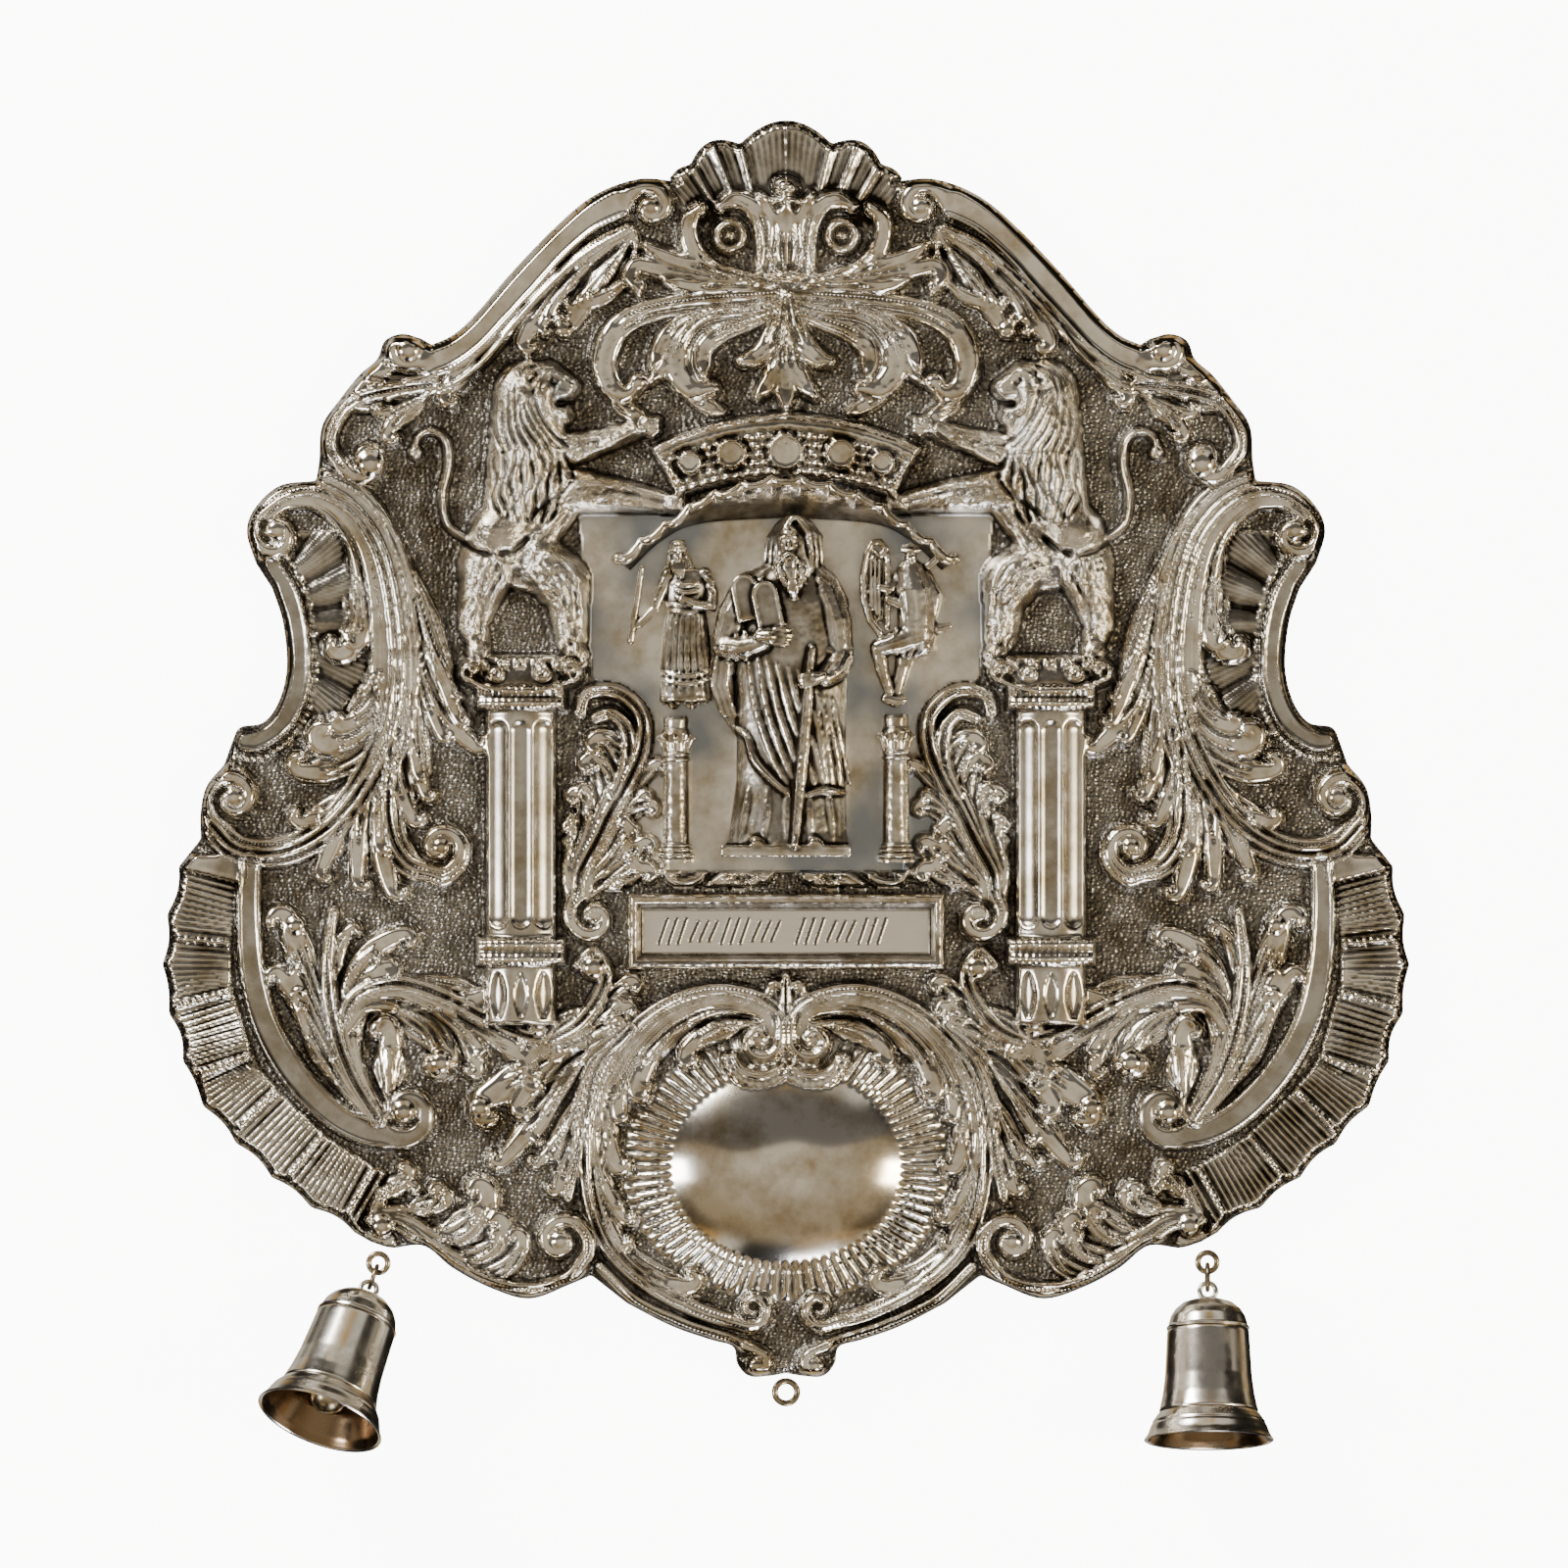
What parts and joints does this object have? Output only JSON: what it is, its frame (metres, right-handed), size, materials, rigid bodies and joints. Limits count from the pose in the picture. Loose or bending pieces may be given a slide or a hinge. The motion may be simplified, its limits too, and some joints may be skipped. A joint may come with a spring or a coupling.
{
  "type": "torah shield",
  "caption": "Repousse silver breastplate for a scroll: crown, lions on columns, three niche figures under a canopy, name plate, boss and hanging bells.",
  "frame": {"origin": "under the middle of its box, on the ground that its flat back and its bells lie on", "axes": "+Z out of the shield's face, +Y up the shield towards its crown and crest, +X to the viewer's right"},
  "size_m": [0.3408, 0.3638, 0.0398],
  "materials": {
    "repousse_silver": "chased silver, oxidised in its matted ground, bright on its ridges",
    "cast_silver": "cast silver with dark recesses and burnished high points",
    "name_plate_silver": "satin silver with shallow strokes",
    "bell_silver": "polished silver",
    "fittings_silver": "silver wire and castings"
  },
  "bodies": {
    "root": {"shield_plate": "repousse_silver", "canopy": "cast_silver", "name_plate_frame": "cast_silver", "festival_plate": "name_plate_silver", "foot_ring": "fittings_silver", "prophet_figure": "cast_silver", "priest_figure": "cast_silver", "harpist_figure": "cast_silver", "priest_column": "cast_silver", "harpist_column": "cast_silver", "left_bell": "bell_silver", "right_bell": "bell_silver", "left_clapper": "fittings_silver", "right_clapper": "fittings_silver", "left_bell_ring": "fittings_silver", "right_bell_ring": "fittings_silver", "left_bell_eyelet": "fittings_silver", "right_bell_eyelet": "fittings_silver"}
  },
  "joints": []
}
